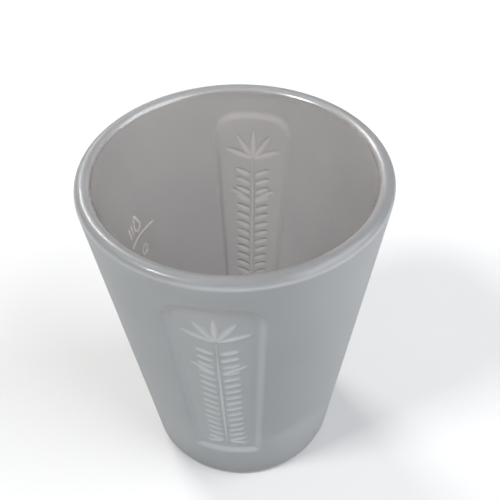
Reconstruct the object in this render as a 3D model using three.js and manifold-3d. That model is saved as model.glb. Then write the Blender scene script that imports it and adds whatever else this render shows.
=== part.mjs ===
// A small pressed-glass shot glass: a heavy tapered tumbler with a rounded rim,
// two opposite recessed panels that each carry a raised ear of grain, and a
// fill mark in white enamel on the outside of the wall.
//
// Millimetres, +Z up. The origin is the centre of the foot, on the surface
// that the glass stands on. The panels face -Y and +Y.

import * as THREE from "three";
import { mergeVertices } from "three/addons/utils/BufferGeometryUtils.js";
import Module from "manifold-3d";

const wasm = await Module();
wasm.setup();

// ---------------------------------------------------------------- dimensions

const HEIGHT = 61;
const RIM_RADIUS = 24;
const RIM_WALL = 2.6;
const BASE_RADIUS = 17.6;
const BASE_CORNER = 1.2;
const FOOT_INNER_RADIUS = 13.5;
const FOOT_RECESS = 0.6;
const FOOT_RECESS_SLOPE = 1.2;

const CAVITY_FLOOR = 9.5;
const CAVITY_CORNER = 4;
const CAVITY_CORNER_RADIUS = 12.9;

const PANEL_HALF_ANGLE = THREE.MathUtils.degToRad(19.4);
const PANEL_BOTTOM = 9.9;
const PANEL_TOP = 55.9;
const PANEL_TOP_CORNER = 4;
const PANEL_BOTTOM_CORNER = 1.2;
const PANEL_CROWN = 0.8;
const PANEL_DEPTH = 0.7;
const PANEL_WALL = 1.5;
const PANEL_TOOL_CLEAR = 0.6;
const PANEL_ANGLES = [-Math.PI / 2, Math.PI / 2];

const RELIEF = 0.17;
const RELIEF_ROOT = 0.15;
const EAR_BOTTOM = 13.8;
const EAR_TOP = 46.6;
const GRAIN_PITCH = 1.95;
const GRAIN_LENGTH = 3.5;
const GRAIN_WIDTH = 1.55;
const GRAIN_TILT = 24;
const GRAIN_START = 0.4;
const GRAIN_RIDGE = [0.25, 0.8];

const STEM_BOTTOM = 12.3;
const STEM_WIDTH = 0.8;
const SIDE_LEAF_HEIGHT = 37.5;
const SIDE_LEAF_LENGTH = 5;
const SIDE_LEAF_TILT = 33;
const CROWN_LEAF_LENGTH = 5.9;
const CROWN_LEAF_WIDTH = 1.7;
const CROWN_SPREAD = 34;
const CROWN_LEAVES = 5;
const FOOT_LEAF_LENGTH = 3.6;
const FOOT_LEAF_TILT = -14;

const MARK_ANGLE = THREE.MathUtils.degToRad(162.5);
const MARK_HEIGHT = 39;
const MARK_LENGTH = 9.1;
const MARK_STROKE = 0.55;
const MARK_GAP = 0.03;
const MARK_THICKNESS = 0.15;
const DROP = { across: 0.4, up: 2.3, radius: 1.05, point: 0.9, pinch: 0.35 };
const RING = { across: 0.2, up: -3.4, radius: 0.9, point: 0, pinch: 0 };
const TICK_BOTTOM = 1.2;
const TICK_TOP = 3.6;
const TICKS_ACROSS = [2.4, 3.5];

const ROUND_SEGMENTS = 64;
const PANEL_COLUMNS = 8;
const LINE_STEPS = 12;
const TICK_STEPS = 2;
const LOOP_STEPS = 20;

// ----------------------------------------------------------------- materials

const glass = new THREE.MeshStandardMaterial({
  name: "glass",
  color: 0xc9cdd0,
  roughness: 0.45,
  metalness: 0,
  transparent: true,
  opacity: 0.6,
});

const enamel = new THREE.MeshStandardMaterial({
  name: "enamel",
  color: 0xf2f2ee,
  roughness: 0.35,
  metalness: 0,
});

// ------------------------------------------------------------------- helpers

/** Radius of the outer cone at height z, without the rim's rounding. */
function wallRadius(z) {
  return BASE_RADIUS + ((RIM_RADIUS - BASE_RADIUS) * z) / (HEIGHT - RIM_WALL / 2);
}

/** Points on a quarter or half circle in the profile plane, ends included. */
function arc(centre, radius, from, to, steps) {
  const points = [];
  for (let i = 0; i <= steps; i += 1) {
    const angle = THREE.MathUtils.degToRad(from + ((to - from) * i) / steps);
    points.push(new THREE.Vector2(
      centre.x + radius * Math.cos(angle),
      centre.y + radius * Math.sin(angle),
    ));
  }
  return points;
}

/** A manifold solid from a closed three.js geometry. */
function toSolid(geometry) {
  const bare = geometry.clone();
  bare.deleteAttribute("normal");
  bare.deleteAttribute("uv");
  const merged = mergeVertices(bare, 1e-5);
  return new wasm.Manifold(new wasm.Mesh({
    numProp: 3,
    vertProperties: new Float32Array(merged.attributes.position.array),
    triVerts: new Uint32Array(merged.index.array),
  }));
}

/** A three.js geometry with flat faces from a manifold solid. */
function toGeometry(solid) {
  const mesh = solid.getMesh();
  const geometry = new THREE.BufferGeometry();
  geometry.setAttribute("position", new THREE.BufferAttribute(mesh.vertProperties, 3));
  geometry.setIndex(new THREE.BufferAttribute(mesh.triVerts, 1));
  geometry.computeVertexNormals();
  return geometry;
}

/** A closed indexed geometry from a list of points and triangles. */
function fromTriangles(points, triangles) {
  const geometry = new THREE.BufferGeometry();
  geometry.setAttribute("position", new THREE.Float32BufferAttribute(points.flat(), 3));
  geometry.setIndex(triangles.flat());
  return geometry;
}

/**
 * A point on the outer wall: `across` is the distance round the wall from the
 * line at `angle`, `z` the height, `out` the distance off the wall's surface.
 */
function onWall(angle, across, z, out) {
  const radius = wallRadius(z);
  const turn = angle + across / radius;
  return [(radius + out) * Math.cos(turn), (radius + out) * Math.sin(turn), z];
}

// ----------------------------------------------------------- the turned body

/** Outside of the tumbler: foot, base corner, tapered wall and rounded rim. */
function outsideProfile() {
  const corner = new THREE.Vector2(wallRadius(BASE_CORNER) - BASE_CORNER, BASE_CORNER);
  const rim = new THREE.Vector2(RIM_RADIUS - RIM_WALL / 2, HEIGHT - RIM_WALL / 2);
  return [
    new THREE.Vector2(0, FOOT_RECESS),
    new THREE.Vector2(FOOT_INNER_RADIUS - FOOT_RECESS_SLOPE, FOOT_RECESS),
    new THREE.Vector2(FOOT_INNER_RADIUS, 0),
    ...arc(corner, BASE_CORNER, -90, 0, 3),
    ...arc(rim, RIM_WALL / 2, 0, 180, 6),
  ];
}

/** Inside of the tumbler, from the rim's inner edge down to the axis. */
function insideProfile() {
  const corner = new THREE.Vector2(
    CAVITY_CORNER_RADIUS - CAVITY_CORNER,
    CAVITY_FLOOR + CAVITY_CORNER,
  );
  return [
    ...arc(corner, CAVITY_CORNER, 0, -90, 4),
    new THREE.Vector2(0, CAVITY_FLOOR),
  ];
}

function tumbler() {
  const profile = [...outsideProfile(), ...insideProfile()];
  const geometry = new THREE.LatheGeometry(profile, ROUND_SEGMENTS);
  geometry.rotateX(Math.PI / 2);
  return toSolid(geometry);
}

// ------------------------------------------------------------------ the panel

/** The panel's outline: how far its side stands in from full width, by height. */
function panelRows() {
  const rows = [];
  const addCorner = (z0, direction, radius, steps) => {
    for (let i = 0; i <= steps; i += 1) {
      const turn = (i / steps) * (Math.PI / 2);
      rows.push({
        z: z0 + direction * radius * Math.sin(turn),
        inset: radius * (1 - Math.cos(turn)),
      });
    }
  };
  addCorner(PANEL_BOTTOM + PANEL_BOTTOM_CORNER, -1, PANEL_BOTTOM_CORNER, 3);
  rows.reverse();
  addCorner(PANEL_TOP - PANEL_TOP_CORNER, 1, PANEL_TOP_CORNER, 6);
  return rows;
}

/**
 * The tool that presses one panel into the wall. Its inner face follows the
 * wall at the panel's depth, and its sides slope out to the wall's surface.
 */
function panelTool(angle) {
  const slope = PANEL_WALL / PANEL_DEPTH;
  const middle = (PANEL_BOTTOM + PANEL_TOP) / 2;
  const half = (PANEL_TOP - PANEL_BOTTOM) / 2;
  const points = [];
  const triangles = [];
  const rows = panelRows();

  const layer = (out, grow) => {
    for (const row of rows) {
      const z = middle + ((row.z - middle) * (half + grow)) / half;
      const full = PANEL_HALF_ANGLE * wallRadius(row.z);
      const crown = PANEL_CROWN * THREE.MathUtils.smoothstep(row.z, middle, PANEL_TOP);
      for (let i = 0; i <= PANEL_COLUMNS; i += 1) {
        const across = (full - row.inset + grow) * ((2 * i) / PANEL_COLUMNS - 1);
        points.push(onWall(angle, across, z - crown * (across / full) ** 2, out));
      }
    }
  };
  layer(-PANEL_DEPTH, -PANEL_WALL);
  layer(PANEL_TOOL_CLEAR, PANEL_TOOL_CLEAR * slope);

  const wide = PANEL_COLUMNS + 1;
  const count = rows.length * wide;
  const quad = (a, b, c, d) => triangles.push([a, b, c], [a, c, d]);
  for (let j = 0; j + 1 < rows.length; j += 1) {
    for (let i = 0; i < PANEL_COLUMNS; i += 1) {
      const a = j * wide + i;
      quad(a, a + wide, a + wide + 1, a + 1);
      quad(count + a, count + a + 1, count + a + wide + 1, count + a + wide);
    }
    const left = j * wide;
    const right = left + PANEL_COLUMNS;
    quad(left, left + count, left + count + wide, left + wide);
    quad(right, right + wide, right + wide + count, right + count);
  }
  const last = (rows.length - 1) * wide;
  for (let i = 0; i < PANEL_COLUMNS; i += 1) {
    quad(i, i + 1, i + 1 + count, i + count);
    quad(last + i, last + i + count, last + i + 1 + count, last + i + 1);
  }
  return toSolid(fromTriangles(points, triangles));
}

// ------------------------------------------------------- the raised ear of grain

/**
 * One grain or leaf: a lozenge with a ridge along its middle. It starts at
 * (across, z) on the panel's floor and runs `length` at `tilt` degrees.
 */
function grain(angle, across, z, tilt, length, width) {
  const turn = THREE.MathUtils.degToRad(tilt);
  const along = (s, t) => [
    across + Math.cos(turn) * s * length - Math.sin(turn) * t * width,
    z + Math.sin(turn) * s * length + Math.cos(turn) * t * width,
  ];
  const low = -PANEL_DEPTH - RELIEF_ROOT;
  const high = -PANEL_DEPTH + RELIEF;
  const at = (s, t, out) => onWall(angle, ...along(s, t), out);
  const points = [
    at(0, 0, low),
    at(0.5, -0.5, low),
    at(1, 0, low),
    at(0.5, 0.5, low),
    at(GRAIN_RIDGE[0], 0, high),
    at(GRAIN_RIDGE[1], 0, high),
  ];
  const triangles = [
    [0, 2, 1],
    [0, 3, 2],
    [0, 1, 4],
    [1, 5, 4],
    [1, 2, 5],
    [2, 3, 5],
    [3, 4, 5],
    [3, 0, 4],
  ];
  return toSolid(fromTriangles(points, triangles));
}

/** Both grains of a pair, one on each side of the ear's middle line. */
function pair(angle, z, tilt, length, width) {
  return [
    grain(angle, GRAIN_START, z, tilt, length, width),
    grain(angle, -GRAIN_START, z, 180 - tilt, length, width),
  ];
}

/** The ear: stem, foot leaves, rows of grains, side leaves and a crown. */
function ear(angle) {
  const upright = 90;
  const solids = [
    grain(angle, 0, STEM_BOTTOM, upright, EAR_TOP - STEM_BOTTOM, STEM_WIDTH),
    ...pair(angle, EAR_BOTTOM, FOOT_LEAF_TILT, FOOT_LEAF_LENGTH, GRAIN_WIDTH),
    ...pair(angle, SIDE_LEAF_HEIGHT, SIDE_LEAF_TILT, SIDE_LEAF_LENGTH, GRAIN_WIDTH),
  ];
  for (let z = EAR_BOTTOM; z < EAR_TOP - GRAIN_PITCH; z += GRAIN_PITCH) {
    solids.push(...pair(angle, z, GRAIN_TILT, GRAIN_LENGTH, GRAIN_WIDTH));
  }
  for (let i = 0; i < CROWN_LEAVES; i += 1) {
    const lean = CROWN_SPREAD * (i - (CROWN_LEAVES - 1) / 2);
    solids.push(
      grain(angle, 0, EAR_TOP, upright - lean, CROWN_LEAF_LENGTH, CROWN_LEAF_WIDTH),
    );
  }
  return solids;
}

// --------------------------------------------------------------- the fill mark

/**
 * A thin stroke of enamel on the wall. `path` holds [across, up] points
 * measured from the middle of the fill line, and `closed` joins its ends.
 */
function stroke(path, closed) {
  const points = [];
  const triangles = [];
  const last = path.length - 1;
  const neighbour = (i) => (
    closed ? (i + path.length) % path.length : THREE.MathUtils.clamp(i, 0, last)
  );
  path.forEach(([across, up], i) => {
    const before = path[neighbour(i - 1)];
    const after = path[neighbour(i + 1)];
    const along = new THREE.Vector2(after[0] - before[0], after[1] - before[1]).normalize();
    for (const [side, out] of [[-1, 0], [1, 0], [1, 1], [-1, 1]]) {
      const shift = (side * MARK_STROKE) / 2;
      points.push(onWall(
        MARK_ANGLE,
        across - shift * along.y,
        MARK_HEIGHT + up + shift * along.x,
        MARK_GAP + out * MARK_THICKNESS,
      ));
    }
  });
  const quad = (a, b, c, d) => triangles.push([a, c, b], [a, d, c]);
  const sections = closed ? path.length : last;
  for (let i = 0; i < sections; i += 1) {
    const here = 4 * i;
    const next = 4 * neighbour(i + 1);
    for (let k = 0; k < 4; k += 1) {
      const l = (k + 1) % 4;
      quad(here + k, next + k, next + l, here + l);
    }
  }
  if (!closed) {
    const end = 4 * last;
    quad(0, 1, 2, 3);
    quad(end, end + 3, end + 2, end + 1);
  }
  return fromTriangles(points, triangles);
}

/** A straight stroke from one [across, up] to another, divided to follow the wall. */
function straight(from, to, steps) {
  const path = [];
  for (let i = 0; i <= steps; i += 1) {
    const t = i / steps;
    path.push([from[0] + (to[0] - from[0]) * t, from[1] + (to[1] - from[1]) * t]);
  }
  return stroke(path, false);
}

/** A closed loop; `point` draws its top out to a tip and `pinch` narrows it there. */
function loop({ across, up, radius, point, pinch }) {
  const path = [];
  for (let i = 0; i < LOOP_STEPS; i += 1) {
    const turn = (2 * Math.PI * i) / LOOP_STEPS;
    const rise = Math.max(0, Math.sin(turn));
    path.push([
      across + radius * (1 - pinch * rise) * Math.cos(turn),
      up + radius * Math.sin(turn) + point * rise ** 3,
    ]);
  }
  return stroke(path, true);
}

/** The short upright tick that stands beside the drop. */
function tick(across) {
  return straight([across, TICK_BOTTOM], [across, TICK_TOP], TICK_STEPS);
}

/** The line at the fill height. */
function fillLine() {
  return straight([-MARK_LENGTH / 2, 0], [MARK_LENGTH / 2, 0], LINE_STEPS);
}

// -------------------------------------------------------------------- assembly

/** The glass itself: turned body, pressed panels and raised ears, in one. */
function glassBody() {
  let body = tumbler();
  for (const angle of PANEL_ANGLES) {
    body = body.subtract(panelTool(angle));
    for (const solid of ear(angle)) {
      body = body.add(solid);
    }
  }
  return toGeometry(body);
}

function named(name, geometry, material) {
  const mesh = new THREE.Mesh(geometry, material);
  mesh.name = name;
  return mesh;
}

const shotGlass = new THREE.Group();
shotGlass.add(
  named("glass_body", glassBody(), glass),
  named("fill_line", fillLine(), enamel),
  named("fill_drop", loop(DROP), enamel),
  named("fill_tick_1", tick(TICKS_ACROSS[0]), enamel),
  named("fill_tick_2", tick(TICKS_ACROSS[1]), enamel),
  named("fill_ring", loop(RING), enamel),
);

export default shotGlass;
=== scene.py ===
"""A small pressed-glass shot glass with a satin-frosted outside.

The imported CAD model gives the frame. This script makes the fine surface of the
glass, its enamel fill mark, their materials, and a plain pale studio.
All lengths are in metres.
"""

import math

import bpy
import numpy as np
from mathutils import Matrix, Vector


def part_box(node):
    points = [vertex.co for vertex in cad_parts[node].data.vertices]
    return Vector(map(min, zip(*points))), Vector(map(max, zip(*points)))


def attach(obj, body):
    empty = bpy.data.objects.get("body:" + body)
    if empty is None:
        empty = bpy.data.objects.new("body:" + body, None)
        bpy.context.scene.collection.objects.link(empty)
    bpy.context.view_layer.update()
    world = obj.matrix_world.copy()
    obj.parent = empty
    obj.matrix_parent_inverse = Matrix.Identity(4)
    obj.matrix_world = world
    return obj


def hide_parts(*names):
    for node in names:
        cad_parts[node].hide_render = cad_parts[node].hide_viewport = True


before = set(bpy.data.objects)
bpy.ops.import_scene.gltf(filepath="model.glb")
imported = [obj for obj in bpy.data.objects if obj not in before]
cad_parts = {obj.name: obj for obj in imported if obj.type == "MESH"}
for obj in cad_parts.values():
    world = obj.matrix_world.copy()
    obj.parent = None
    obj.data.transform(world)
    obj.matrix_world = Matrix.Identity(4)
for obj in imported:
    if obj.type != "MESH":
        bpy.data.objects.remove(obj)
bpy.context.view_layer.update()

MM = 0.001

# ------------------------------------------------------------------ dimensions

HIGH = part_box("glass_body")[1]
RIM_RADIUS = HIGH.x
HEIGHT = HIGH.z
RIM_WALL = 2.6 * MM
RIM_TUBE = RIM_WALL / 2
BASE_RADIUS = 17.6 * MM
BASE_CORNER = 1.2 * MM
FOOT_INNER_RADIUS = 13.5 * MM
FOOT_RECESS = 0.6 * MM
FOOT_RECESS_SLOPE = 1.2 * MM
CAVITY_FLOOR = 9.5 * MM
CAVITY_CORNER = 4 * MM
CAVITY_CORNER_RADIUS = 12.9 * MM

PANEL_HALF_ANGLE = math.radians(19.4)
PANEL_BOTTOM = 9.9 * MM
PANEL_TOP = 55.9 * MM
PANEL_TOP_CORNER = 4 * MM
PANEL_BOTTOM_CORNER = 1.2 * MM
PANEL_CROWN = 0.8 * MM
PANEL_DEPTH = 0.7 * MM
PANEL_WALL = 1.5 * MM
PANEL_ANGLES = (-math.pi / 2, math.pi / 2)

RELIEF = 0.17 * MM
EAR_BOTTOM = 13.8 * MM
EAR_TOP = 46.6 * MM
GRAIN_PITCH = 1.95 * MM
GRAIN_LENGTH = 3.5 * MM
GRAIN_WIDTH = 1.55 * MM
GRAIN_TILT = 24
GRAIN_START = 0.4 * MM
STEM_BOTTOM = 12.3 * MM
STEM_WIDTH = 0.8 * MM
SIDE_LEAF_HEIGHT = 37.5 * MM
SIDE_LEAF_LENGTH = 5 * MM
SIDE_LEAF_TILT = 33
CROWN_LEAF_LENGTH = 5.9 * MM
CROWN_LEAF_WIDTH = 1.7 * MM
CROWN_SPREAD = 34
CROWN_LEAVES = 5
FOOT_LEAF_LENGTH = 3.6 * MM
FOOT_LEAF_TILT = -14

# Outline of a grain or leaf: where it is widest, how blunt its ends are, how
# steep its flanks are, and over what length its ends run out.
LEAF_BALANCE = 0.85
LEAF_BLUNTNESS = 0.6
LEAF_FLANK = 1.15
LEAF_END = 0.5 * MM

MARK_ANGLE = math.radians(162.5)
MARK_HEIGHT = 39 * MM
MARK_LENGTH = 9.1 * MM
MARK_STROKE = 0.55 * MM
MARK_SUNK = 0.05 * MM
MARK_PROUD = 0.06 * MM
MARK_EDGE = 0.4
STROKE_END = 0.45
STROKE_END_STEPS = 3
DROP_ACROSS = 0.4 * MM
DROP_UP = 2.3 * MM
DROP_RADIUS = 1.05 * MM
DROP_POINT = 0.9 * MM
DROP_PINCH = 0.35
RING_ACROSS = 0.2 * MM
RING_UP = -3.4 * MM
RING_RADIUS = 0.9 * MM
TICK_BOTTOM = 1.2 * MM
TICK_TOP = 3.6 * MM
TICKS_ACROSS = (2.4 * MM, 3.5 * MM)

# The mesh is fine where a panel is pressed in, over the ear and the panel's
# sides, and coarse elsewhere. Its rows end on a small ring round the axis.
ROW_STEP = 0.21 * MM
PANEL_ROWS_END = PANEL_TOP + 0.3 * MM
TOP_ROWS_START = PANEL_TOP + 0.4 * MM
AXIS_RING = 0.25 * MM
RECESS_ROWS = 6
SLOPE_ROWS = 6
FOOT_STEPS = 8
BASE_ROWS = 5
TOP_ROWS = 9
RIM_STEPS = 24
CAVITY_ROWS = 23
CAVITY_CORNER_STEPS = 10
CAVITY_FLOOR_ROWS = 5
COLUMN_STEP = math.radians(0.38)
EAR_EDGE = math.radians(11)
PANEL_SIDE_START = math.radians(14.8)
PANEL_SIDE_END = math.radians(20.2)
PANEL_FLOOR_COLUMNS = 3
PLAIN_WALL_COLUMNS = 29
PANEL_REACH = 1.2

# The frosting ends on the rim, over these degrees of turn about its tube from
# outside to inside. The rim is fire-polished between two heights.
FROST_END = 95
FROST_FADE = 60
POLISH_START = HEIGHT - 1.5 * MM
POLISH_END = HEIGHT - 0.3 * MM

# Colours and finish of the satin outside, of the rim, and of the clear inside.
# The third satin colour and the two panel weights after it are painted light: a
# lighter colour on the raised ear, the panel floors, the panel's bent edges and
# the foot, standing in for highlights and light.
SATIN_LOW = (0.305, 0.321, 0.328, 1)
SATIN_HIGH = (0.350, 0.368, 0.375, 1)
SATIN_PAINTED_HIGHLIGHT = (0.515, 0.530, 0.540, 1)
PANEL_EDGE_PAINTED_HIGHLIGHT = 0.28
PANEL_FLOOR_PAINTED_LIGHT = 0.22
RIM_COLOUR = (0.46, 0.475, 0.49, 1)
CLEAR_COLOUR = (0.83, 0.735, 0.70, 1)
SATIN_ROUGHNESS = 0.45
SATIN_ROUGHNESS_SPREAD = 0.08
SATIN_TRANSMISSION = 0.46
CLOUD_SCALE = 90
CLOUD_RANGE = (0.3, 0.7)
GRAIN_SCALE = 5200
GRAIN_STRENGTH = 0.25
GRAIN_DEPTH = 0.04 * MM
RIM_ROUGHNESS = 0.16
RIM_TRANSMISSION = 0.85
RIM_GLOSS = 0.2
RIM_GLOSS_ROUGHNESS = 0.08
CLEAR_ROUGHNESS = 0.08
GLASS_IOR = 1.5
ENAMEL_LOW = (0.86, 0.85, 0.83, 1)
ENAMEL_HIGH = (0.93, 0.93, 0.92, 1)
ENAMEL_ROUGHNESS = (0.3, 0.45)
ENAMEL_SCALE = 1500
ENAMEL_STRENGTH = 0.2
ENAMEL_DEPTH = 0.03 * MM
FLOOR_LOW = (0.41, 0.41, 0.41, 1)
FLOOR_HIGH = (0.42, 0.42, 0.42, 1)
FLOOR_ROUGHNESS = 0.9
FLOOR_SCALE = 6
FLOOR_HALF = 2.5
NOISE_ROUGHNESS = 0.55

# Camera and lights: angles in degrees, the lens in mm.
CAMERA_TURN = 9.5
CAMERA_ELEVATION = 37.99
CAMERA_DISTANCE = 105.4 * MM
CAMERA_YAW = 1.02
CAMERA_PITCH = 6.80
CAMERA_ROLL = 1.92
CAMERA_LENS = 50.4
SENSOR_WIDTH = 36
NEAR_CLIP = 5 * MM
LIGHT_DISTANCE = 1.5
SKY_COLOUR = (0.96, 0.98, 1.0, 1)
SKY_STRENGTH = 0.62


# --------------------------------------------------------------- the wall shape


def wall_radius(z):
    """Radius of the outer cone at height z."""
    return BASE_RADIUS + (RIM_RADIUS - BASE_RADIUS) * z / (HEIGHT - RIM_TUBE)


def smooth(t):
    """A soft step from 0 to 1 as t goes from 0 to 1."""
    t = np.clip(t, 0, 1)
    return t * t * (3 - 2 * t)


def panel_share(across, z):
    """How far a point lies inside the panel: 0 on the wall, 1 on its floor."""
    middle = (PANEL_TOP + PANEL_BOTTOM) / 2
    half_height = (PANEL_TOP - PANEL_BOTTOM) / 2
    half_width = PANEL_HALF_ANGLE * wall_radius(z)
    crown = PANEL_CROWN * (across / half_width) ** 2 * smooth((z - middle) / half_height)
    up = z - middle + crown
    corner = np.where(up > 0, PANEL_TOP_CORNER, PANEL_BOTTOM_CORNER)
    qx = np.abs(across) - half_width + corner
    qz = np.abs(up) - half_height + corner
    outside = np.hypot(np.maximum(qx, 0), np.maximum(qz, 0))
    distance = outside + np.minimum(np.maximum(qx, qz), 0) - corner
    return smooth(-distance / PANEL_WALL)


def leaf_list():
    """Every leaf of the ear as (across, z, tilt in degrees, length, width)."""
    leaves = [(0, STEM_BOTTOM, 90, EAR_TOP - STEM_BOTTOM, STEM_WIDTH)]

    def add_pair(z, tilt, length, width):
        leaves.append((GRAIN_START, z, tilt, length, width))
        leaves.append((-GRAIN_START, z, 180 - tilt, length, width))

    add_pair(EAR_BOTTOM, FOOT_LEAF_TILT, FOOT_LEAF_LENGTH, GRAIN_WIDTH)
    add_pair(SIDE_LEAF_HEIGHT, SIDE_LEAF_TILT, SIDE_LEAF_LENGTH, GRAIN_WIDTH)
    z = EAR_BOTTOM
    while z < EAR_TOP - GRAIN_PITCH:
        add_pair(z, GRAIN_TILT, GRAIN_LENGTH, GRAIN_WIDTH)
        z += GRAIN_PITCH
    for i in range(CROWN_LEAVES):
        lean = CROWN_SPREAD * (i - (CROWN_LEAVES - 1) / 2)
        leaves.append((0, EAR_TOP, 90 - lean, CROWN_LEAF_LENGTH, CROWN_LEAF_WIDTH))
    return leaves


def ear_height(across, z):
    """Height of the ear of grain over the panel's floor, from 0 to 1."""
    height = np.zeros_like(across)
    for x0, z0, tilt, length, width in leaf_list():
        turn = math.radians(tilt)
        dx = across - x0
        dz = z - z0
        s = (dx * math.cos(turn) + dz * math.sin(turn)) / length
        t = (dz * math.cos(turn) - dx * math.sin(turn)) / width
        inside = (s > 0) & (s < 1)
        s = np.clip(s, 0, 1)
        half = 0.5 * np.sin(np.pi * s ** LEAF_BALANCE) ** LEAF_BLUNTNESS + 1e-6
        bulge = smooth(LEAF_FLANK * (1 - np.abs(t / half)))
        taper = np.minimum(1, np.minimum(s, 1 - s) * length / LEAF_END)
        height = np.maximum(height, np.where(inside, bulge * taper, 0))
    return height


def across_panel(centre, angle, z):
    """Distance round the wall from a panel's middle line, and whether it's near."""
    turn = (angle - centre + math.pi) % (2 * math.pi) - math.pi
    near = np.abs(turn) < PANEL_HALF_ANGLE * PANEL_REACH
    return np.where(near, turn, 0) * wall_radius(z), near


def ear_share(angle, z):
    """Height of both ears of grain over the panels, from 0 to 1."""
    total = np.zeros_like(z)
    for centre in PANEL_ANGLES:
        across, near = across_panel(centre, angle, z)
        total += np.where(near, ear_height(across, z), 0)
    return total


def pressed_share(angle, z):
    """How far the wall is pressed in by either panel, from 0 to 1."""
    total = np.zeros_like(z)
    for centre in PANEL_ANGLES:
        across, near = across_panel(centre, angle, z)
        total += np.where(near, panel_share(across, z), 0)
    return total


# ------------------------------------------------------------------ the surface


def arc(x, z, radius, start, end, steps):
    """Points of an arc about (x, z), from start to end in degrees."""
    turns = np.radians(np.linspace(start, end, steps + 1))
    return [(x + radius * math.cos(a), z + radius * math.sin(a)) for a in turns]


def profile():
    """The glass's outline from the axis below to the axis above, as
    (radius, z, frosted, wall) rows; wall rows take the pressed panels."""
    rows = []

    def add(points, frosted):
        rows.extend((r, z, frosted, False) for r, z in points)

    slope_start = FOOT_INNER_RADIUS - FOOT_RECESS_SLOPE
    foot_slope = [
        (slope_start + FOOT_RECESS_SLOPE * t, FOOT_RECESS * (1 - smooth(t)))
        for t in np.linspace(0, 1, SLOPE_ROWS)
    ]
    recess = np.linspace(AXIS_RING, slope_start, RECESS_ROWS + 1)[:-1]
    add([(r, FOOT_RECESS) for r in recess], 1)
    add(foot_slope, 1)
    corner = wall_radius(BASE_CORNER) - BASE_CORNER
    add(arc(corner, BASE_CORNER, BASE_CORNER, -90, 0, FOOT_STEPS), 1)

    rim_bottom = HEIGHT - RIM_TUBE
    heights = np.concatenate([
        np.linspace(BASE_CORNER, PANEL_BOTTOM, BASE_ROWS + 2)[1:-1],
        np.arange(PANEL_BOTTOM, PANEL_ROWS_END, ROW_STEP),
        np.linspace(TOP_ROWS_START, rim_bottom, TOP_ROWS + 1)[:-1],
    ])
    rows.extend((wall_radius(z), z, 1, True) for z in heights)

    rim = arc(RIM_RADIUS - RIM_TUBE, rim_bottom, RIM_TUBE, 0, 180, RIM_STEPS)
    for (r, z), turn in zip(rim, np.linspace(0, 180, RIM_STEPS + 1)):
        rows.append((r, z, 1 - smooth((turn - FROST_END) / FROST_FADE), False))

    low = CAVITY_FLOOR + CAVITY_CORNER
    inner_rim = RIM_RADIUS - RIM_WALL
    shares = np.linspace(1, 0, CAVITY_ROWS + 1)[1:]
    add([
        (
            CAVITY_CORNER_RADIUS + (inner_rim - CAVITY_CORNER_RADIUS) * t,
            low + (rim_bottom - low) * t,
        )
        for t in shares
    ], 0)
    corner = CAVITY_CORNER_RADIUS - CAVITY_CORNER
    add(arc(corner, low, CAVITY_CORNER, 0, -90, CAVITY_CORNER_STEPS)[1:], 0)
    floor = np.linspace(corner, AXIS_RING, CAVITY_FLOOR_ROWS + 1)[1:]
    add([(r, CAVITY_FLOOR) for r in floor], 0)
    return rows


def columns():
    """Azimuths round the glass: close together over a panel, wide apart elsewhere."""
    quarter = [
        *np.arange(0, EAR_EDGE, COLUMN_STEP),
        *np.linspace(EAR_EDGE, PANEL_SIDE_START, PANEL_FLOOR_COLUMNS + 1)[:-1],
        *np.arange(PANEL_SIDE_START, PANEL_SIDE_END, COLUMN_STEP),
        *np.linspace(PANEL_SIDE_END, math.pi / 2, PLAIN_WALL_COLUMNS + 1)[:-1],
    ]
    turns = []
    for centre in PANEL_ANGLES:
        turns.extend(centre + a for a in quarter)
        turns.extend(centre + math.pi - a for a in [math.pi / 2] + quarter[:0:-1])
    return np.array(sorted(a % (2 * math.pi) for a in turns))


def turned_mesh(name, rows, turns):
    """A closed mesh from profile rows and azimuths. Its points carry three masks:
    how frosted and how polished the surface is, and how much painted highlight
    lightens it."""
    radius, height, frosted, wall = (np.array(column) for column in zip(*rows))
    angle, z = np.meshgrid(turns, height)
    r = np.repeat(radius[:, None], len(turns), 1)
    pressed = pressed_share(angle[wall], z[wall])
    ear = ear_share(angle[wall], z[wall])
    r[wall] += RELIEF * ear - PANEL_DEPTH * pressed
    # Painted light: the foot's underside and the base corner get the lighter satin
    # colour in full.
    light = np.where(z < BASE_CORNER, 1.0, 0.0)
    # Painted highlight: the raised ear, the panel floors and most of all the panel's
    # bent edges get the lighter satin colour.
    painted_edge_highlight = 4 * pressed * (1 - pressed)
    panel = PANEL_FLOOR_PAINTED_LIGHT * pressed + PANEL_EDGE_PAINTED_HIGHLIGHT * painted_edge_highlight
    light[wall] = np.maximum(ear, panel)
    body = np.stack([r * np.cos(angle), r * np.sin(angle), z], -1).reshape(-1, 3)
    points = np.concatenate([body, [[0, 0, height[0]], [0, 0, height[-1]]]])

    count = len(turns)
    i = np.arange(len(rows) - 1)[:, None] * count
    j = np.arange(count)[None, :]
    k = (j + 1) % count
    quads = np.stack([i + j, i + k, i + count + k, i + count + j], -1).reshape(-1, 4)
    start, end = len(body), len(body) + 1
    last = (len(rows) - 1) * count
    caps = [(start, (a + 1) % count, a) for a in range(count)]
    caps += [(end, last + a, last + (a + 1) % count) for a in range(count)]

    mesh = bpy.data.meshes.new(name)
    mesh.from_pydata(points.tolist(), [], quads.tolist() + caps)
    mesh.update()
    polish = smooth((height - POLISH_START) / (POLISH_END - POLISH_START))
    masks = {
        "frost": np.repeat(frosted, count),
        "polish": np.repeat(polish, count),
        "light": light.ravel(),
    }
    for key, values in masks.items():
        values = np.concatenate([values, [values[0], values[-1]]])
        mesh.attributes.new(key, "FLOAT", "POINT").data.foreach_set("value", values)
    mesh.polygons.foreach_set("use_smooth", [True] * len(mesh.polygons))
    return mesh


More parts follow.
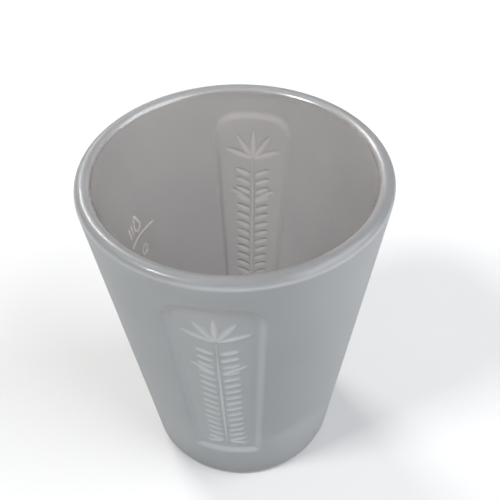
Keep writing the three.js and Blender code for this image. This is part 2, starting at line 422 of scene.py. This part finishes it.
def make_glass():
    """The glass body: one closed surface in one material."""
    mesh = turned_mesh("shot_glass_surface", profile(), columns())
    glass = bpy.data.objects.new("shot_glass_surface", mesh)
    bpy.context.scene.collection.objects.link(glass)
    glass.data.materials.append(frosted_glass())
    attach(glass, "root")
    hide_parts("glass_body")


# ------------------------------------------------------------------- fill mark


def on_wall(across, z, out):
    """A point of the outer wall beside the fill mark's middle line."""
    radius = wall_radius(z)
    turn = MARK_ANGLE + across / radius
    return ((radius + out) * math.cos(turn), (radius + out) * math.sin(turn), z)


def stroke_path(start, end, steps=40):
    """A straight stroke from start to end, in metres from the fill line's middle."""
    (x0, z0), (x1, z1) = start, end
    shares = np.linspace(0, 1, steps + 1)
    return [(x0 + (x1 - x0) * t, z0 + (z1 - z0) * t) for t in shares]


def loop_path(across, up, radius, point, pinch, steps=64):
    """A ring. Point draws its top out to a tip, and pinch narrows it there."""
    path = []
    for i in range(steps):
        turn = 2 * math.pi * i / steps
        rise = max(0, math.sin(turn))
        path.append((
            across + radius * (1 - pinch * rise) * math.cos(turn),
            up + radius * math.sin(turn) + point * rise ** 3,
        ))
    return path


def enamel_section():
    """Half-round section of a stroke as (side, out) pairs, side from -1 to 1."""
    section = [(-1, -MARK_SUNK), (1, -MARK_SUNK)]
    for a in np.linspace(0, math.pi, 9):
        rise = MARK_EDGE + (1 - MARK_EDGE) * math.sin(a)
        section.append((math.cos(a), MARK_PROUD * rise))
    return section


def stroke_points(path, closed):
    """The section's points at every step of the path, narrower at open ends."""
    count = len(path)
    points = []
    for i, (across, up) in enumerate(path):
        before = path[i - 1] if closed or i else path[0]
        after = path[(i + 1) % count] if closed or i + 1 < count else path[-1]
        dx, dz = after[0] - before[0], after[1] - before[1]
        length = math.hypot(dx, dz)
        share = 1 if closed else min(i, count - 1 - i) / STROKE_END_STEPS
        width = MARK_STROKE / 2 * min(1, STROKE_END + (1 - STROKE_END) * share)
        for side, out in enamel_section():
            shift = side * width
            points.append(on_wall(
                across - shift * dz / length,
                MARK_HEIGHT + up + shift * dx / length,
                out,
            ))
    return points


def make_stroke(node, path, closed, material):
    """One enamel stroke, fused a little way into the wall."""
    size = len(enamel_section())
    count = len(path)
    faces = []
    for i in range(count if closed else count - 1):
        j = (i + 1) % count
        for k in range(size):
            m = (k + 1) % size
            faces.append((i * size + k, i * size + m, j * size + m, j * size + k))
    if not closed:
        faces.append(tuple(range(size))[::-1])
        faces.append(tuple((count - 1) * size + k for k in range(size)))
    mesh = bpy.data.meshes.new(node + "_enamel")
    mesh.from_pydata(stroke_points(path, closed), [], faces)
    mesh.polygons.foreach_set("use_smooth", [True] * len(mesh.polygons))
    mesh.materials.append(material)
    piece = bpy.data.objects.new(node + "_enamel", mesh)
    bpy.context.scene.collection.objects.link(piece)
    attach(piece, "root")
    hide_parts(node)


def make_fill_mark():
    """The fill line, a drop and two ticks above it, and a ring below it."""
    enamel = white_enamel()
    half = MARK_LENGTH / 2
    drop = loop_path(DROP_ACROSS, DROP_UP, DROP_RADIUS, DROP_POINT, DROP_PINCH)
    ring = loop_path(RING_ACROSS, RING_UP, RING_RADIUS, 0, 0)
    ticks = [stroke_path((x, TICK_BOTTOM), (x, TICK_TOP)) for x in TICKS_ACROSS]
    strokes = (
        ("fill_line", stroke_path((-half, 0), (half, 0)), False),
        ("fill_drop", drop, True),
        ("fill_tick_1", ticks[0], False),
        ("fill_tick_2", ticks[1], False),
        ("fill_ring", ring, True),
    )
    for node, path, closed in strokes:
        make_stroke(node, path, closed, enamel)


# -------------------------------------------------------------------- materials


class Nodes:
    """Short calls for building a material's node tree."""

    def __init__(self, name):
        self.material = bpy.data.materials.new(name)
        self.material.use_nodes = True
        self.tree = self.material.node_tree
        self.shader = self.tree.nodes["Principled BSDF"]

    def add(self, kind, **values):
        node = self.tree.nodes.new(kind)
        for key, value in values.items():
            setattr(node, key, value)
        return node

    def link(self, source, target):
        self.tree.links.new(source, target)

    def attribute(self, name):
        """One of the surface's masks."""
        return self.add("ShaderNodeAttribute", attribute_name=name).outputs["Fac"]

    def noise(self, scale, detail):
        """Noise fixed to the object, from 0 to 1."""
        place = self.add("ShaderNodeTexCoord")
        node = self.add("ShaderNodeTexNoise")
        node.inputs["Scale"].default_value = scale
        node.inputs["Detail"].default_value = detail
        node.inputs["Roughness"].default_value = NOISE_ROUGHNESS
        self.link(place.outputs["Object"], node.inputs["Vector"])
        return node.outputs["Fac"]

    def span(self, source, low, high, from_low=0.0, from_high=1.0):
        """The source carried from one range to another, and held inside it."""
        node = self.add("ShaderNodeMapRange")
        node.inputs["From Min"].default_value = from_low
        node.inputs["From Max"].default_value = from_high
        node.inputs["To Min"].default_value = low
        node.inputs["To Max"].default_value = high
        self.link(source, node.inputs["Value"])
        return node.outputs["Result"]

    def math(self, operation, a, b):
        node = self.add("ShaderNodeMath", operation=operation)
        for socket, value in zip(node.inputs, (a, b)):
            if isinstance(value, (int, float)):
                socket.default_value = value
            else:
                self.link(value, socket)
        return node.outputs["Value"]

    def mix_colour(self, factor, a, b):
        """Colour a where the factor is 0, and colour b where it is 1."""
        node = self.add("ShaderNodeMix", data_type="RGBA")
        self.link(factor, node.inputs[0])
        for socket, value in ((node.inputs[6], a), (node.inputs[7], b)):
            if isinstance(value, tuple):
                socket.default_value = value
            else:
                self.link(value, socket)
        return node.outputs[2]

    def bump(self, height, strength, distance):
        node = self.add("ShaderNodeBump")
        node.inputs["Strength"].default_value = strength
        node.inputs["Distance"].default_value = distance
        self.link(height, node.inputs["Height"])
        return node.outputs["Normal"]


def frosted_glass():
    """Satin outside, clear inside, with a fire-polished rim. The frost and polish
    masks say how much of each a point of the surface is; the light mask mixes in
    a painted highlight colour."""
    n = Nodes("frosted_glass")
    frost = n.attribute("frost")
    polish = n.attribute("polish")
    light = n.attribute("light")
    cloud = n.span(n.noise(CLOUD_SCALE, 5), 0, 1, *CLOUD_RANGE)
    grain = n.noise(GRAIN_SCALE, 2)

    satin = n.mix_colour(cloud, SATIN_LOW, SATIN_HIGH)
    # Painted highlight: where the light mask is up, the satin takes a lighter colour.
    satin = n.mix_colour(light, satin, SATIN_PAINTED_HIGHLIGHT)
    satin = n.mix_colour(polish, satin, RIM_COLOUR)
    n.link(n.mix_colour(frost, CLEAR_COLOUR, satin), n.shader.inputs["Base Color"])

    roughest = SATIN_ROUGHNESS + SATIN_ROUGHNESS_SPREAD
    satin_roughness = n.span(cloud, SATIN_ROUGHNESS, roughest)
    clear_roughness = n.span(polish, CLEAR_ROUGHNESS, RIM_ROUGHNESS)
    roughness = n.math(
        "ADD",
        n.math("MULTIPLY", frost, satin_roughness),
        n.math("MULTIPLY", n.math("SUBTRACT", 1, frost), clear_roughness),
    )
    n.link(roughness, n.shader.inputs["Roughness"])

    through = n.math(
        "MAXIMUM",
        n.span(frost, 1.0, SATIN_TRANSMISSION),
        n.span(polish, 0.0, RIM_TRANSMISSION),
    )
    n.link(through, n.shader.inputs["Transmission Weight"])
    n.shader.inputs["IOR"].default_value = GLASS_IOR
    n.link(n.span(polish, 0.0, RIM_GLOSS), n.shader.inputs["Coat Weight"])
    n.shader.inputs["Coat Roughness"].default_value = RIM_GLOSS_ROUGHNESS

    grain = n.math("MULTIPLY", grain, frost)
    n.link(n.bump(grain, GRAIN_STRENGTH, GRAIN_DEPTH), n.shader.inputs["Normal"])
    return n.material


def white_enamel():
    """Fired-on enamel: nearly white, with a faint mottle."""
    n = Nodes("white_enamel")
    cloud = n.noise(ENAMEL_SCALE, 4)
    mottle = n.span(cloud, 0, 1, *CLOUD_RANGE)
    colour = n.mix_colour(mottle, ENAMEL_LOW, ENAMEL_HIGH)
    n.link(colour, n.shader.inputs["Base Color"])
    n.link(n.span(cloud, *ENAMEL_ROUGHNESS), n.shader.inputs["Roughness"])
    n.link(n.bump(cloud, ENAMEL_STRENGTH, ENAMEL_DEPTH), n.shader.inputs["Normal"])
    return n.material


def pale_floor():
    """A matt pale floor."""
    n = Nodes("pale_floor")
    colour = n.mix_colour(n.noise(FLOOR_SCALE, 3), FLOOR_LOW, FLOOR_HIGH)
    n.link(colour, n.shader.inputs["Base Color"])
    n.shader.inputs["Roughness"].default_value = FLOOR_ROUGHNESS
    return n.material


# ---------------------------------------------------------------------- studio


def make_floor():
    """A square floor at the foot's level."""
    mesh = bpy.data.meshes.new("studio_floor")
    signs = ((-1, -1), (1, -1), (1, 1), (-1, 1))
    corners = [(x * FLOOR_HALF, y * FLOOR_HALF, 0) for x, y in signs]
    mesh.from_pydata(corners, [], [(0, 1, 2, 3)])
    floor = bpy.data.objects.new("studio_floor", mesh)
    bpy.context.scene.collection.objects.link(floor)
    floor.data.materials.append(pale_floor())


def make_light(name, turn, elevation, power, size, colour):
    """A soft window light; turn 0 is on the camera's side, positive to its right."""
    lamp = bpy.data.lights.new(name, "AREA")
    lamp.shape = "RECTANGLE"
    lamp.size, lamp.size_y = size
    lamp.energy = power
    lamp.color = colour
    light = bpy.data.objects.new(name, lamp)
    a = math.radians(turn + CAMERA_TURN)
    e = math.radians(elevation)
    aim = Vector((0, 0, HEIGHT / 2))
    away = Vector((math.sin(a) * math.cos(e), -math.cos(a) * math.cos(e), math.sin(e)))
    light.location = aim + away * LIGHT_DISTANCE
    light.rotation_euler = away.to_track_quat("Z", "Y").to_euler()
    bpy.context.scene.collection.objects.link(light)


def make_world():
    """An even, pale sky."""
    world = bpy.data.worlds.new("studio_world")
    bpy.context.scene.world = world
    world.use_nodes = True
    sky = world.node_tree.nodes["Background"]
    sky.inputs["Color"].default_value = SKY_COLOUR
    sky.inputs["Strength"].default_value = SKY_STRENGTH


def make_camera():
    """The camera stands above the rim's level and looks down into the glass."""
    e = math.radians(CAMERA_ELEVATION)
    aim = Vector((0, 0, HEIGHT))
    spot = aim + CAMERA_DISTANCE * Vector((0, -math.cos(e), math.sin(e)))
    look = (spot - aim).to_track_quat("Z", "Y").to_matrix()
    tilt = (
        Matrix.Rotation(math.radians(CAMERA_ROLL), 3, "Z")
        @ Matrix.Rotation(math.radians(CAMERA_PITCH), 3, "X")
        @ Matrix.Rotation(math.radians(CAMERA_YAW), 3, "Y")
    )
    turn = Matrix.Rotation(math.radians(CAMERA_TURN), 3, "Z")
    lens = bpy.data.cameras.new("camera")
    lens.lens = CAMERA_LENS
    lens.sensor_width = SENSOR_WIDTH
    lens.clip_start = NEAR_CLIP
    camera = bpy.data.objects.new("camera", lens)
    aimed = (turn @ look @ tilt.transposed()).to_4x4()
    camera.matrix_world = Matrix.Translation(turn @ spot) @ aimed
    bpy.context.scene.collection.objects.link(camera)
    bpy.context.scene.camera = camera


make_camera()
make_glass()
make_fill_mark()
make_floor()
make_world()
make_light("window_right", 72, 41, 33, (1.4, 1.2), (0.98, 1.0, 1.04))
make_light("window_left", -147, 42, 17, (0.45, 0.45), (1.03, 1.0, 0.97))
make_light("front_fill", -66, 51, 20, (0.35, 0.35), (1.0, 1.0, 1.0))
bpy.context.scene.view_settings.view_transform = "Standard"
